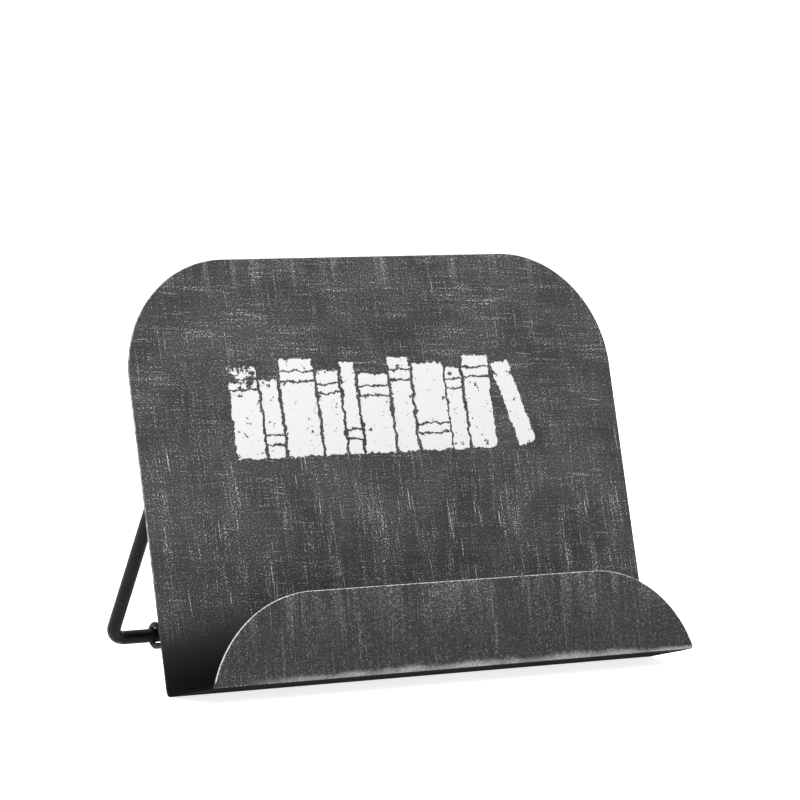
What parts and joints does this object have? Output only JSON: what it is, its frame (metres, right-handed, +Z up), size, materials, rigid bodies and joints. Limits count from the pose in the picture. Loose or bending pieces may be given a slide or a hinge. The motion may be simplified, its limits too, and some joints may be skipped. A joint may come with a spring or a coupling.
{
  "type": "book display stand",
  "caption": "Tabletop book stand: a folded steel sheet with a ledge and a front lip, leaning on a hinged wire leg held by a wire stay.",
  "frame": {"origin": "on the table, at the centre of the stand's footprint box", "axes": "+X along the panel's width, the stand's right-hand side seen from the front; +Y towards the back, where the leg stands; +Z up"},
  "size_m": [0.25, 0.1718, 0.1836],
  "materials": {
    "distressed_charcoal": "matt charcoal paint, dry-brushed with white streaks and rubbed through along its edges",
    "satin_black": "satin black paint on wire and straps"
  },
  "bodies": {
    "panel": {"sheet_body": "distressed_charcoal", "hinge_sleeve_left": "satin_black", "hinge_sleeve_right": "satin_black", "stay_hook_left": "satin_black", "stay_hook_right": "satin_black"},
    "leg": {"rear_leg": "satin_black"},
    "stay": {"prop_stay": "satin_black"}
  },
  "joints": [
    {"name": "leg_fold", "type": "hinge", "parent": "panel", "child": "leg", "pos_m": [0, -0.00389, 0.14145], "axis": [-1, 0, 0], "range_deg": [0, 46]},
    {"name": "stay_swing", "type": "hinge", "parent": "leg", "child": "stay", "pos_m": [0, 0.07958, 0.0063], "axis": [1, 0, 0], "range_deg": [0, 308.5]}
  ],
  "couplings": [
    {"joint": "stay_swing", "follows": "leg_fold", "ratio": 6.7057}
  ]
}
